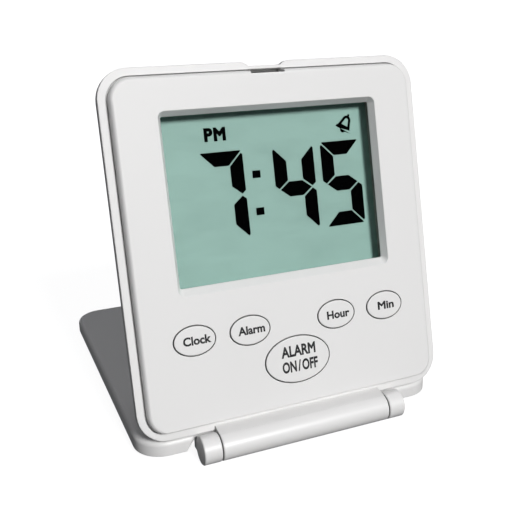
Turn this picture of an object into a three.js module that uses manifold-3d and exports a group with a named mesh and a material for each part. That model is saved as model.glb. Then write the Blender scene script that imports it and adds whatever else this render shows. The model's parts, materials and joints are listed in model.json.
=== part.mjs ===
// A folding travel alarm clock, standing open on its own cover.
// Units are millimetres. +X is to the right of the person reading the clock, +Y is away from them, +Z is up.
// The origin is on the table, below the middle of the clock and its opened cover.
//
// The clock and the cover are each drawn in a frame whose origin is the hinge axis:
//   x to the right, y up along the face (or away from the hinge along the cover), z out of the face.
// With the cover closed the two frames coincide, so both parts are drawn as they lie when folded together.
import * as THREE from "three";
import { mergeVertices } from "three/addons/utils/BufferGeometryUtils.js";
import Module from "manifold-3d";

const wasm = await Module();
wasm.setup();

// ---------------------------------------------------------------------------
// Driving dimensions
// ---------------------------------------------------------------------------
const PANEL_W = 78; // front panel, at its flat face
const PANEL_H = 83.4;
const PANEL_CORNER = 4.6;
const PANEL_EDGE = 1; // rounding of the panel's front edge, across
const PANEL_EDGE_D = 1.7; // and in depth
const STEP = 2; // panel stands this far proud of the flange
const MARGIN = 3.3; // flange beyond the panel's flat face, at the sides and the top
const MARGIN_BOTTOM = 2.7;
const PANEL_BOTTOM_EDGE = 0.35; // at the bottom, next to the hinge, the panel's edge is almost square
const GROOVE_W = 0.4; // narrow groove round the foot of the panel
const GROOVE_D = 0.5;
const FLANGE_T = 2.2;
const FLANGE_EDGE = 0.25; // rounding of the flange's edge
const WALL = 1.6; // moulded wall thickness
const SEAM = 0.3; // gap between pieces that touch
const CASE_D = 13.3; // from the flange's front to the back of the rear case
const REAR_INSET = 0.6; // rear case inside the flange's outline, at the seam
const REAR_TAPER = 2.2; // and how much further in it is at the back
const LEAN = THREE.MathUtils.degToRad(15); // the open clock leans back by this

const BARREL_R = 3.63; // hinge barrel and knuckles
const BARREL_CHAMFER = 0.2; // on the ends of the barrel and of each knuckle
const BARREL_HALF = 23.3; // half the length of the clock's own barrel
const KNUCKLE_OUT = 28.2; // outer end of the cover's knuckles
const HINGE_DROP = 3.5; // hinge axis below the flange's lower edge
const HINGE_OUT = 1.9; // and in front of the flange's front plane
const PIN_R = 0.8;
const PIN_BORE = 0.98;

const COVER_H = 3.9; // cover's height, rim to outer face
const COVER_WALL = 1.3;
const COVER_TOP = 1.2;
const COVER_EDGE = 1.3; // rounding of the cover's outer edge
const RIM_GAP = 0.25; // rim clear of the flange when closed

const FLANGE_W = PANEL_W + 2 * MARGIN;
const FLANGE_H = PANEL_H + MARGIN + MARGIN_BOTTOM;
const FLANGE_CORNER = PANEL_CORNER + 3;
const FLANGE_Y = HINGE_DROP + FLANGE_H / 2; // flange's centre above the hinge
const PANEL_Y = HINGE_DROP + MARGIN_BOTTOM + PANEL_H / 2; // panel's centre above the hinge
const FLANGE_Z = -HINGE_OUT; // front plane of the flange
const FACE_Z = FLANGE_Z + STEP; // front face of the panel
const FLANGE_BACK = FLANGE_Z - FLANGE_T;
const REAR_Z = FLANGE_Z - CASE_D; // back of the rear case
const REAR_FLOOR = REAR_Z + WALL; // inner face of its back wall
const PANEL_BACK = FACE_Z - WALL - 0.4; // back of the panel itself

// Window: an opening whose sides slope in from the face to the level of the lens.
const WINDOW_W = 58.2;
const WINDOW_H = 44.2;
const WINDOW_Y = PANEL_Y + 12.2;
const WINDOW_INNER_W = 56.1;
const WINDOW_INNER_H = 41.2;
const WINDOW_RISE = 0.3; // inner opening's centre above the outer one's
const WINDOW_CORNER = 1.7;
const WINDOW_INNER_CORNER = 0.4;
const WINDOW_D = 2;
const LENS_LEVEL = FACE_Z - WINDOW_D;

// Keys: two pairs of small ovals and one large one.
const KEYS = [
  { name: "clock", x: -26.5, y: -20.7, a: 5.5, b: 3.85 },
  { name: "alarm", x: -12.05, y: -20.7, a: 5.5, b: 3.85 },
  { name: "alarm_on_off", x: 0, y: -30.3, a: 9.15, b: 6.15 },
  { name: "hour", x: 12.05, y: -20.7, a: 5.5, b: 3.85 },
  { name: "min", x: 26.5, y: -20.7, a: 5.5, b: 3.85 },
];
const KEY_GAP = 0.28; // all round each key in its hole
const KEY_PROUD = 0.25;
const KEY_FLANGE = 0.8; // key's flange wider than its hole
const KEY_TRAVEL = 0.7;

// Board stack, counted back from the face.
const LENS_T = 0.8;
const GLASS_T = 1;
const LENS_Z = LENS_LEVEL - SEAM;
const FRONT_GLASS_Z = LENS_Z - LENS_T - SEAM;
const REAR_GLASS_Z = FRONT_GLASS_Z - GLASS_T - 0.1;
const REFLECTOR_Z = REAR_GLASS_Z - GLASS_T - 0.1;
const REFLECTOR_T = 0.2;
const GLASS_HALF_W = 30.2;
const GLASS_Y = WINDOW_Y + 0.2;
const FRONT_GLASS_H = 52.8;
const REAR_GLASS_H = 47.4;
const BOARD_Z = FACE_Z - 8.2; // front face of the circuit board
const BOARD_T = 1.2;
const BOARD_HALF_W = 30.8;
const BOARD_BOTTOM = PANEL_Y - 39.3;
const BOARD_TOP = PANEL_Y + 38.8;
const BOARD_BACK = BOARD_Z - BOARD_T;

// Screws: four join the cases, three hold the board.
const CASE_SCREWS = [
  { x: -34.6, y: PANEL_Y - 36.8 },
  { x: -34.6, y: PANEL_Y + 36.8 },
  { x: 34.6, y: PANEL_Y - 36.8 },
  { x: 34.6, y: PANEL_Y + 36.8 },
];
const BOARD_SCREWS = [
  { x: -34.4, y: PANEL_Y - 12 },
  { x: 34.4, y: PANEL_Y - 12 },
  { x: -15, y: PANEL_Y - 37.6 },
];

// Battery and buzzer sit side by side behind the board.
const CELL_X = -16.5;
const CELL_Y = PANEL_Y + 13;
const CELL_R = 10;
const CELL_T = 3.2;
const CUP_R = 10.8; // inside of the battery cup
const CUP_OUT = 12;
const DOOR_R = 13.2;
const DOOR_T = 1.4;
const BUZZER_X = 16.5;
const BUZZER_Y = PANEL_Y + 13;
const BUZZER_R = 13.5;

// Flat faces that stand for a curve.
const ROUND = 24; // round a large circle
const SMALL_ROUND = 12; // round a small one
const BARREL_ROUND = 40; // round the hinge barrel
const ARC_STEPS = 5; // half the steps in a quarter-circle corner
const OVAL_STEPS = 20; // half the steps round a key
const OVERCUT = 1; // how far a cutter reaches past what it cuts

// ---------------------------------------------------------------------------
// Materials
// ---------------------------------------------------------------------------
const material = (color, roughness, rest) => new THREE.MeshStandardMaterial({ color, roughness, ...rest });
const plastic = (color) => material(color, 0.45);
const metal = (color) => material(color, 0.35, { metalness: 1 });
const glass = (color) => material(color, 0.05, { transparent: true, opacity: 0.35 });
const rubber = (color) => material(color, 0.85);

const WHITE = 0xeceae6;
const FRAME_WHITE = 0xd9d7d0;
const REFLECTOR_GREEN = 0x94b6ab;
const LENS_CLEAR = 0xf4f8f7;
const GLASS_GREEN = 0xa8bfb4;
const ZEBRA_GREY = 0x4a4a4c;
const KEYPAD_GREY = 0xbdbdb8;
const CARBON = 0x222222;
const BOARD_GREEN = 0x2f6b3a;
const EPOXY = 0x111111;
const RESISTOR_BLACK = 0x1c1c1c;
const CAPACITOR_TAN = 0xb59a6b;
const ZINC = 0x9fa3a7;
const STEEL = 0xb4b8bc;
const NICKEL = 0xc9cacb;
const BRASS = 0xd8c48a;
const DISC_BRASS = 0xc9a24a;
const PIEZO_WHITE = 0xe8e6dc;
const WIRE_RED = 0xb02020;
const WIRE_BLACK = 0x151515;

// ---------------------------------------------------------------------------
// Solids: three.js geometry in and out of manifold-3d
// ---------------------------------------------------------------------------
function solid(geometry) {
  const bare = geometry.clone();
  bare.deleteAttribute("normal");
  bare.deleteAttribute("uv");
  const merged = mergeVertices(bare, 1e-4);
  return new wasm.Manifold(
    new wasm.Mesh({
      numProp: 3,
      vertProperties: merged.attributes.position.array,
      triVerts: new Uint32Array(merged.index.array),
    }),
  );
}

function geometryOf(manifold) {
  const mesh = manifold.getMesh();
  const geometry = new THREE.BufferGeometry();
  geometry.setAttribute("position", new THREE.BufferAttribute(mesh.vertProperties, 3));
  geometry.setIndex(new THREE.BufferAttribute(mesh.triVerts, 1));
  geometry.computeVertexNormals();
  return geometry;
}

const union = (first, ...rest) => rest.reduce((whole, piece) => whole.add(piece), first);
const cut = (first, ...rest) => rest.reduce((whole, piece) => whole.subtract(piece), first);

function named(name, shape, finish) {
  const mesh = new THREE.Mesh(shape.isBufferGeometry ? shape : geometryOf(shape), finish);
  mesh.name = name;
  return mesh;
}

// The two ends of a stretch of x on one side of the middle, in rising order.
const span = (side, inner, outer) => [side * inner, side * outer].sort((a, b) => a - b);

// A box between two corners.
function box(x0, x1, y0, y1, z0, z1) {
  const geometry = new THREE.BoxGeometry(x1 - x0, y1 - y0, z1 - z0);
  return solid(geometry.translate((x0 + x1) / 2, (y0 + y1) / 2, (z0 + z1) / 2));
}

// A cylinder standing along z, or a cone if its two radii differ.
function post(radius, x, y, z0, z1, segments = ROUND, topRadius = radius) {
  const geometry = new THREE.CylinderGeometry(topRadius, radius, z1 - z0, segments);
  return solid(geometry.rotateX(Math.PI / 2).translate(x, y, (z0 + z1) / 2));
}

// A cylinder lying along x, with the corners of its ends taken off.
function chamferedRod(radius, x0, x1, chamfer, segments) {
  const points = [
    [0, x0],
    [radius - chamfer, x0],
    [radius, x0 + chamfer],
    [radius, x1 - chamfer],
    [radius - chamfer, x1],
    [0, x1],
  ];
  const geometry = new THREE.LatheGeometry(points.map(([r, x]) => new THREE.Vector2(r, x)), segments);
  return solid(geometry.rotateZ(-Math.PI / 2));
}

// A cylinder lying along x.
function rod(radius, x0, x1, y, z, segments = ROUND) {
  const geometry = new THREE.CylinderGeometry(radius, radius, x1 - x0, segments);
  return solid(geometry.rotateZ(Math.PI / 2).translate((x0 + x1) / 2, y, z));
}

function roundedRect(width, height, radius, y = 0) {
  const right = width / 2;
  const top = height / 2;
  const shape = new THREE.Shape();
  shape.absarc(right - radius, y + top - radius, radius, 0, Math.PI / 2);
  shape.absarc(radius - right, y + top - radius, radius, Math.PI / 2, Math.PI);
  shape.absarc(radius - right, y + radius - top, radius, Math.PI, 1.5 * Math.PI);
  shape.absarc(right - radius, y + radius - top, radius, 1.5 * Math.PI, 2 * Math.PI);
  return shape;
}

// A plate from z0 up to z1. The outline is that of its flat faces, and a rounded edge stands out past it.
function plate(shape, z0, z1, { edge = 0, edgeDepth = edge, edgeSteps = 3, curveSteps = ARC_STEPS } = {}) {
  const geometry = new THREE.ExtrudeGeometry(shape, {
    depth: z1 - z0 - 2 * edgeDepth,
    curveSegments: curveSteps,
    bevelEnabled: edge > 0,
    bevelThickness: edgeDepth,
    bevelSize: edge,
    bevelSegments: edgeSteps,
  });
  return geometry.translate(0, 0, z0 + edgeDepth);
}

function ovalPlate(a, b, x, y, z0, z1, edge = 0) {
  const shape = new THREE.Shape();
  shape.absellipse(x, y, a, b, 0, 2 * Math.PI);
  return solid(plate(shape, z0, z1, { edge, edgeSteps: 2, curveSteps: OVAL_STEPS }));
}

// Whatever of a geometry lies below the given y is drawn in towards it.
function squeezeBelow(geometry, y, share) {
  const position = geometry.attributes.position;
  for (let i = 0; i < position.count; i++) {
    position.setY(i, Math.max(position.getY(i), y + (position.getY(i) - y) * share));
  }
  return geometry;
}

// Narrows a geometry towards zFar, about the point (0, y) of its section.
function taper(geometry, zNear, zFar, scaleX, scaleY, y) {
  const position = geometry.attributes.position;
  for (let i = 0; i < position.count; i++) {
    const share = (position.getZ(i) - zNear) / (zFar - zNear);
    const sx = 1 + (scaleX - 1) * share;
    const sy = 1 + (scaleY - 1) * share;
    position.setX(i, position.getX(i) * sx);
    position.setY(i, y + (position.getY(i) - y) * sy);
  }
  return geometry;
}

// An outline in the y-z plane, drawn as pairs [y, z], extruded along x.
function profile(points, x0, x1) {
  const shape = new THREE.Shape(points.map(([y, z]) => new THREE.Vector2(y, z)));
  const geometry = new THREE.ExtrudeGeometry(shape, { depth: x1 - x0, bevelEnabled: false });
  const turn = new THREE.Matrix4().set(0, 0, 1, x0, 1, 0, 0, 0, 0, 1, 0, 0, 0, 0, 0, 1);
  return solid(geometry.applyMatrix4(turn));
}

// A round wire through the given points.
function wire(points, radius, steps = 14) {
  const path = new THREE.CatmullRomCurve3(points.map((p) => new THREE.Vector3(...p)));
  const section = new THREE.Shape();
  section.absarc(0, 0, radius, 0, 2 * Math.PI);
  const curveSegments = 3;
  return new THREE.ExtrudeGeometry(section, { steps, curveSegments, extrudePath: path, bevelEnabled: false });
}

// ---------------------------------------------------------------------------
// Front case
// ---------------------------------------------------------------------------
const NOTCH_HALF = 3.4; // finger notch in the flange's upper edge
const NOTCH_SLOPE = 3; // each sloping shoulder of the notch
const NOTCH_D = 1.2;
const SLOT_HALF = 4.5; // latch slot in the panel's upper edge
const SLOT_H = 0.9;
const SLOT_D = 2;
const MOUTH_LOW = 0.2; // the slot's mouth, cut through the flange in front, above the panel's flat face
const MOUTH_HIGH = 1.45;
const BOSS_R = 2.5;
const BOSS_BORE = 1.1;
const BOSS_END = FACE_Z - 8; // front case's bosses end here, and the rear case's start a seam behind
const BOARD_POST_R = 1.9;
const BOARD_POST_BORE = 0.95;
const BORE_D = 6; // depth of each hinge pin's bore in the barrel
const TOUCH = 0.01; // pieces of one solid share this much

const flangeTop = FLANGE_Y + FLANGE_H / 2;
const panelTop = PANEL_Y + PANEL_H / 2;
const panelBottom = PANEL_Y - PANEL_H / 2;

function flangePlate() {
  const outline = roundedRect(
    FLANGE_W - 2 * FLANGE_EDGE,
    FLANGE_H - 2 * FLANGE_EDGE,
    FLANGE_CORNER - FLANGE_EDGE,
    FLANGE_Y,
  );
  return solid(plate(outline, FLANGE_BACK, FLANGE_Z, { edge: FLANGE_EDGE, edgeSteps: 2 }));
}

function panelBlock() {
  const outline = roundedRect(PANEL_W, PANEL_H, PANEL_CORNER, PANEL_Y);
  const rounding = { edge: PANEL_EDGE, edgeDepth: PANEL_EDGE_D, edgeSteps: 5 };
  const block = plate(outline, FLANGE_BACK, FACE_Z, rounding);
  return solid(squeezeBelow(block, panelBottom, PANEL_BOTTOM_EDGE / PANEL_EDGE));
}

function panelGroove() {
  const reach = PANEL_EDGE + GROOVE_W;
  const outline = roundedRect(PANEL_W + 2 * reach, PANEL_H + 2 * reach, PANEL_CORNER + reach, PANEL_Y);
  const block = plate(outline, FLANGE_Z - GROOVE_D, FLANGE_Z + OVERCUT);
  return solid(squeezeBelow(block, panelBottom, (PANEL_BOTTOM_EDGE + GROOVE_W) / reach));
}

function fingerNotch() {
  const foot = NOTCH_HALF + NOTCH_SLOPE;
  const bend = NOTCH_HALF + NOTCH_SLOPE / 2;
  const floor = flangeTop - NOTCH_D;
  const outline = new THREE.Shape();
  outline.moveTo(-foot, flangeTop + OVERCUT);
  outline.lineTo(-foot, flangeTop);
  outline.bezierCurveTo(-bend, flangeTop, -bend, floor, -NOTCH_HALF, floor);
  outline.lineTo(NOTCH_HALF, floor);
  outline.bezierCurveTo(bend, floor, bend, flangeTop, foot, flangeTop);
  outline.lineTo(foot, flangeTop + OVERCUT);
  return solid(plate(outline, FLANGE_BACK - OVERCUT, FLANGE_Z + OVERCUT));
}

// The opening narrows from the face down to the lens, and its corners sharpen.
function windowOpening() {
  const outer = roundedRect(WINDOW_W, WINDOW_H, WINDOW_CORNER, WINDOW_Y);
  const inner = roundedRect(WINDOW_INNER_W, WINDOW_INNER_H, WINDOW_INNER_CORNER, WINDOW_Y + WINDOW_RISE);
  const front = solid(plate(outer, FACE_Z, FACE_Z + OVERCUT));
  const back = solid(plate(inner, LENS_LEVEL, LENS_LEVEL + TOUCH));
  const behind = solid(plate(inner, LENS_LEVEL - OVERCUT, LENS_LEVEL + TOUCH));
  return union(wasm.Manifold.hull([front, back]), behind);
}

// The neck rises from the flange's lower edge and meets the barrel along its tangent.
function barrelNeck() {
  const level = HINGE_DROP + 1.3; // where it leaves the flange's front
  const behind = FLANGE_BACK + FLANGE_EDGE;
  const foot = [level, FLANGE_Z - 0.1];
  const reach = Math.hypot(...foot);
  const tangent = Math.atan2(foot[1], foot[0]) + Math.acos(BARREL_R / reach);
  const touch = [BARREL_R * Math.cos(tangent), BARREL_R * Math.sin(tangent)];
  const points = [[0, 0], [0, SEAM - BARREL_R], [HINGE_DROP - 0.6, behind], [level, behind], foot, touch];
  return profile(points, -BARREL_HALF, BARREL_HALF);
}

// The shell behind the panel, open at the back.
function panelCavity() {
  const clear = 2 * WALL - 1; // the panel's rounded edge adds to the wall at the sides
  const outline = roundedRect(PANEL_W - clear, PANEL_H - clear, PANEL_CORNER, PANEL_Y);
  return solid(plate(outline, FLANGE_BACK - OVERCUT, PANEL_BACK));
}

// The bezel round the window is thicker than the panel, down to the lens.
function windowBezel() {
  const rim = 5;
  const middle = WINDOW_Y + WINDOW_RISE;
  const outline = roundedRect(WINDOW_INNER_W + rim, WINDOW_INNER_H + rim, WINDOW_CORNER, middle);
  return solid(plate(outline, LENS_LEVEL, FACE_Z - 1));
}

// A hollow boss on the back of the panel, for a screw.
function addBoss(shell, radius, bore, x, y, end) {
  const deep = 5;
  return shell
    .add(post(radius, x, y, end, PANEL_BACK + TOUCH, SMALL_ROUND))
    .subtract(post(bore, x, y, end - OVERCUT, end + deep, SMALL_ROUND));
}

function frontCase() {
  let shell = cut(flangePlate(), panelGroove());
  shell = cut(union(shell, panelBlock()), panelCavity(), fingerNotch());
  shell = cut(union(shell, windowBezel()), windowOpening());
  for (const key of KEYS) {
    const y = PANEL_Y + key.y;
    shell = shell.subtract(ovalPlate(key.a, key.b, key.x, y, PANEL_BACK - OVERCUT, FACE_Z + OVERCUT));
  }
  const slotFloor = panelTop - SLOT_D;
  const slotMouth = panelTop + PANEL_EDGE + OVERCUT;
  const mouthLow = panelTop + MOUTH_LOW;
  const mouthHigh = panelTop + MOUTH_HIGH;
  shell = cut(
    shell,
    box(-SLOT_HALF, SLOT_HALF, slotFloor, slotMouth, FLANGE_Z, FLANGE_Z + SLOT_H),
    box(-SLOT_HALF, SLOT_HALF, mouthLow, mouthHigh, FLANGE_BACK - OVERCUT, FACE_Z + OVERCUT),
  );

  for (const { x, y } of CASE_SCREWS) {
    shell = addBoss(shell, BOSS_R, BOSS_BORE, x, y, BOSS_END);
  }
  for (const { x, y } of BOARD_SCREWS) {
    shell = addBoss(shell, BOARD_POST_R, BOARD_POST_BORE, x, y, BOARD_Z + SEAM);
  }

  const barrel = chamferedRod(BARREL_R, -BARREL_HALF, BARREL_HALF, BARREL_CHAMFER, BARREL_ROUND);
  shell = union(shell, barrel, barrelNeck());
  for (const side of [-1, 1]) {
    const [x0, x1] = span(side, BARREL_HALF - BORE_D, BARREL_HALF + OVERCUT);
    shell = shell.subtract(rod(PIN_BORE, x0, x1, 0, 0, SMALL_ROUND));
  }
  return named("front_case", shell, plastic(WHITE));
}

// ---------------------------------------------------------------------------
// Rear case
// ---------------------------------------------------------------------------
const DOOR_GAP = 0.3;
const DOOR_INNER = REAR_Z + DOOR_T;
const CELL_BACK = DOOR_INNER + 0.35;
const CELL_FRONT = CELL_BACK + CELL_T;
const CUP_FLOOR = CELL_FRONT + 0.8; // back face of the cup's floor, which faces the cell
const LUG_OUT = 14.4; // bayonet lugs on the door
const LUG_HALF_ANGLE = 16; // half of each lug, in degrees
const DOOR_TURN = 40; // from locked to free, in degrees
const BUZZER_SEAT = REAR_FLOOR + 0.8;
const SCREW_SEAT = REAR_Z + 2.6; // the case screws' heads bear here

// The case's outline at the seam, narrowing towards the back.
function rearBlock(inset, z0, z1, edge) {
  const width = FLANGE_W - 2 * (REAR_INSET + inset);
  const height = FLANGE_H - 2 * (REAR_INSET + inset);
  const corner = FLANGE_CORNER - REAR_INSET - inset - edge;
  const outline = roundedRect(width - 2 * edge, height - 2 * edge, corner, FLANGE_Y);
  const geometry = plate(outline, z0, z1, { edge });
  const scaleX = 1 - (2 * REAR_TAPER) / FLANGE_W;
  const scaleY = 1 - (2 * REAR_TAPER) / FLANGE_H;
  return solid(taper(geometry, FLANGE_BACK, REAR_Z, scaleX, scaleY, FLANGE_Y));
}

// A wedge of a ring about the battery's centre, for the bayonet: its middle is at the given angle in degrees.
function ringWedge(r0, r1, z0, z1, middle, half) {
  const from = THREE.MathUtils.degToRad(middle - half);
  const to = THREE.MathUtils.degToRad(middle + half);
  const shape = new THREE.Shape();
  shape.absarc(CELL_X, CELL_Y, r1, from, to, false);
  shape.absarc(CELL_X, CELL_Y, r0, to, from, true);
  return solid(plate(shape, z0, z1));
}

// The cup that holds the cell, open towards the back, where the door's skirt stands round it.
function batteryCup() {
  return cut(
    post(CUP_OUT, CELL_X, CELL_Y, REAR_Z, CUP_FLOOR + 1),
    post(CUP_R, CELL_X, CELL_Y, REAR_Z - OVERCUT, CUP_FLOOR),
    post(CUP_OUT + 1, CELL_X, CELL_Y, REAR_Z - OVERCUT, DOOR_INNER + 0.2),
    box(CELL_X - 3, CELL_X + 3, CELL_Y - CUP_OUT - 1, CELL_Y - CUP_R + 1, CELL_BACK - 0.2, CUP_FLOOR),
  );
}

// Four ribs carry the cup from the back wall, clear of the door's lugs.
function cupRibs() {
  const top = BOARD_BACK - SEAM;
  const outer = CUP_OUT + 6.5;
  const half = 5;
  const ribs = [];
  for (const middle of [45, 135, 225, 315]) {
    ribs.push(ringWedge(CUP_OUT - 0.5, outer, REAR_FLOOR + 1.1, top, middle, half));
    ribs.push(ringWedge(LUG_OUT + 0.6, outer, REAR_FLOOR - 0.2, top, middle, half));
  }
  return ribs;
}

// The door's opening, with two ways through the wall for its lugs.
function doorOpening() {
  const opening = [post(DOOR_R + DOOR_GAP, CELL_X, CELL_Y, REAR_Z - OVERCUT, REAR_FLOOR + 0.1)];
  const half = LUG_HALF_ANGLE + 2;
  for (const side of [-DOOR_TURN, 180 - DOOR_TURN]) {
    opening.push(ringWedge(DOOR_R - 1, LUG_OUT + DOOR_GAP, REAR_Z - OVERCUT, REAR_FLOOR + 0.1, side, half));
  }
  return opening;
}

// A ring holds the buzzer against the back wall, over a ring of sound holes.
function buzzerRing() {
  return cut(
    post(BUZZER_R + 1.6, BUZZER_X, BUZZER_Y, REAR_FLOOR - 0.2, REAR_FLOOR + 1.6),
    post(BUZZER_R + 0.4, BUZZER_X, BUZZER_Y, BUZZER_SEAT, REAR_FLOOR + 3),
    post(BUZZER_R - 1.2, BUZZER_X, BUZZER_Y, REAR_FLOOR - 1, BUZZER_SEAT + 1),
  );
}

function soundHoles() {
  const radius = 0.9;
  const circle = 5;
  const count = 8;
  const hole = (x, y) => post(radius, x, y, REAR_Z - OVERCUT, REAR_FLOOR + OVERCUT, count);
  const holes = [hole(BUZZER_X, BUZZER_Y)];
  for (let i = 0; i < count; i++) {
    const angle = (i * 2 * Math.PI) / count;
    holes.push(hole(BUZZER_X + circle * Math.cos(angle), BUZZER_Y + circle * Math.sin(angle)));
  }
  return holes;
}

function rearCase() {
  const seam = FLANGE_BACK - SEAM;
  const spare = 3; // drawn past the seam, then trimmed level
  const trim = box(-60, 60, -10, 110, seam, seam + 20);
  const outer = rearBlock(0, REAR_Z, seam + spare, 1).subtract(trim);
  let shell = outer.subtract(rearBlock(WALL, REAR_FLOOR, seam + spare, 0));
  shell = cut(shell, ...doorOpening());
  shell = union(shell, batteryCup(), ...cupRibs(), buzzerRing());
  shell = cut(shell, ...soundHoles());
  for (const { x, y } of CASE_SCREWS) {
    shell = shell.add(post(3.2, x, y, REAR_FLOOR - SEAM, BOSS_END - SEAM, SMALL_ROUND));
    shell = shell.subtract(post(1.25, x, y, REAR_Z - OVERCUT, BOSS_END + OVERCUT, SMALL_ROUND));
    shell = shell.subtract(post(2.3, x, y, REAR_Z - OVERCUT, SCREW_SEAT, SMALL_ROUND));
  }
  // The bosses stay inside the case's own outline.
  return named("rear_case", shell.intersect(outer), plastic(WHITE));
}

// ---------------------------------------------------------------------------
// Battery door, cell and contacts
// ---------------------------------------------------------------------------
// A round door with a skirt in two arcs, each ending in a bayonet lug, and a slot for a coin in its face.
function batteryDoor() {
  const skirtR = CUP_OUT + 0.35;
  const skirtEnd = REAR_FLOOR + 0.8;
  const lugT = 0.5;
  const coinSlot = box(CELL_X - 7, CELL_X + 7, CELL_Y - 0.9, CELL_Y + 0.9, REAR_Z - OVERCUT, REAR_Z + 0.7);
  let door = post(DOOR_R, CELL_X, CELL_Y, REAR_Z, DOOR_INNER).subtract(coinSlot);
  for (const side of [0, 180]) {
    door = door.add(ringWedge(skirtR, DOOR_R - 0.1, DOOR_INNER - 0.2, skirtEnd, side, LUG_HALF_ANGLE));
    door = door.add(ringWedge(skirtR, LUG_OUT, skirtEnd - lugT, skirtEnd, side, LUG_HALF_ANGLE));
  }
  return named("battery_door", door, plastic(WHITE));
}

// A can with a rounded edge, and the smaller cap inset in its front.
function coinCell() {
  const edge = 0.25;
  const capR = CELL_R - 1.3;
  const points = [
    [0, 0],
    [CELL_R - edge, 0],
    [CELL_R, edge],
    [CELL_R, CELL_T - 2 * edge],
    [capR + 0.2, CELL_T - edge - 0.15],
    [capR, CELL_T],
    [0, CELL_T],
  ].map(([r, h]) => new THREE.Vector2(r, h));
  const geometry = new THREE.LatheGeometry(points, ROUND);
  geometry.rotateX(Math.PI / 2).translate(CELL_X, CELL_Y, CELL_BACK);
  return named("coin_cell", solid(geometry), metal(NICKEL));
}

const TAB_END = CELL_Y - CUP_OUT - 1.5; // both contacts' tabs end outside the cup

// A sprung leaf on the cup's floor touches the cell's small face, and its tab leaves through the cup's side.
function negativeContact() {
  const strip = 0.25;
  const seat = CUP_FLOOR - 0.15;
  const leaf = [
    [TAB_END, seat],
    [CELL_Y - 6, seat],
    [CELL_Y, CELL_FRONT + SEAM + strip],
    [CELL_Y + 3, seat - 0.1],
  ];
  const under = leaf.map(([y, z]) => [y, z - strip]).reverse();
  const shape = profile([...leaf, ...under], CELL_X - 1.9, CELL_X + 0.1);
  return named("battery_contact_negative", shape, metal(BRASS));
}

// A bent tab stands between the cell's edge and the cup.
function positiveContact() {
  const y = CELL_Y - CELL_R - 0.25;
  const strip = 0.3;
  const low = CELL_BACK + 0.4;
  const shelf = low + 1.2;
  const points = [
    [y, low],
    [y, CELL_FRONT - 0.3],
    [y - strip, CELL_FRONT - 0.3],
    [y - strip, shelf],
    [TAB_END, shelf],
    [TAB_END, shelf - strip],
    [y - strip, shelf - strip],
    [y - strip, low],
  ];
  const shape = profile(points.reverse(), CELL_X + 0.6, CELL_X + 2.6);
  return named("battery_contact_positive", shape, metal(BRASS));
}

// ---------------------------------------------------------------------------
// Display
// ---------------------------------------------------------------------------
// A flat pane behind the window, with its front face at the given z.
function pane(name, halfW, height, front, thick, finish) {
  const low = GLASS_Y - height / 2;
  return named(name, box(-halfW, halfW, low, low + height, front - thick, front), finish);
}

function display() {
  const reflectorH = REAR_GLASS_H - 0.6;
  return [
    pane("window_lens", GLASS_HALF_W, FRONT_GLASS_H, LENS_Z, LENS_T, glass(LENS_CLEAR)),
    pane("lcd_front_glass", GLASS_HALF_W, FRONT_GLASS_H, FRONT_GLASS_Z, GLASS_T, glass(GLASS_GREEN)),
    pane("lcd_rear_glass", GLASS_HALF_W, REAR_GLASS_H, REAR_GLASS_Z, GLASS_T, glass(GLASS_GREEN)),
    pane("lcd_reflector", GLASS_HALF_W - 0.7, reflectorH, REFLECTOR_Z, REFLECTOR_T, plastic(REFLECTOR_GREEN)),
  ];
}

const FRAME_OUT = 31.8;
const FRAME_T = 1.3;

// A ring round the panes, with a plate behind the reflector.
function displayFrame() {
  const back = BOARD_Z + SEAM;
  const inner = FRAME_OUT - FRAME_T;
  const innerH = FRONT_GLASS_H / 2 + SEAM;
  const outerH = innerH + 0.9;
  const ring = cut(
    box(-FRAME_OUT, FRAME_OUT, GLASS_Y - outerH, GLASS_Y + outerH, back, LENS_Z),
    box(-inner, inner, GLASS_Y - innerH, GLASS_Y + innerH, back - OVERCUT, LENS_Z + OVERCUT),
  );
  const plateFront = REFLECTOR_Z - REFLECTOR_T - SEAM;
  const halfW = FRAME_OUT - 0.5;
  const halfH = REAR_GLASS_H / 2;
  const backing = box(-halfW, halfW, GLASS_Y - halfH, GLASS_Y + halfH, plateFront - 1.1, plateFront);
  return named("lcd_frame", ring.add(backing), plastic(FRAME_WHITE));
}

// Rubber connectors between the front glass, where it overhangs the rear one, and the board.
function zebraStrips() {
  const front = REAR_GLASS_Z - 0.1;
  const back = BOARD_Z + SEAM;
  const near = REAR_GLASS_H / 2 + 0.4;
  const far = FRONT_GLASS_H / 2 - 0.2;
  const strip = (name, y0, y1) => named(name, box(-28, 28, y0, y1, back, front), rubber(ZEBRA_GREY));
  return [
    strip("zebra_strip_upper", GLASS_Y + near, GLASS_Y + far),
    strip("zebra_strip_lower", GLASS_Y - far, GLASS_Y - near),
  ];
}

// ---------------------------------------------------------------------------
// Keys, keypad and board
// ---------------------------------------------------------------------------
const KEY_FLANGE_FRONT = PANEL_BACK - SEAM;
const KEY_FLANGE_T = 0.8;
const KEY_END = KEY_FLANGE_FRONT - KEY_FLANGE_T - 0.5;
const DOME_TOP = KEY_END - KEY_TRAVEL - 0.2;
const MAT_T = 0.8;
const MAT_BACK = BOARD_Z + SEAM;
const PILL_R = 1.6;
const PILL_T = 0.5;
const PILL_FRONT = MAT_BACK + 1.1;

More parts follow.
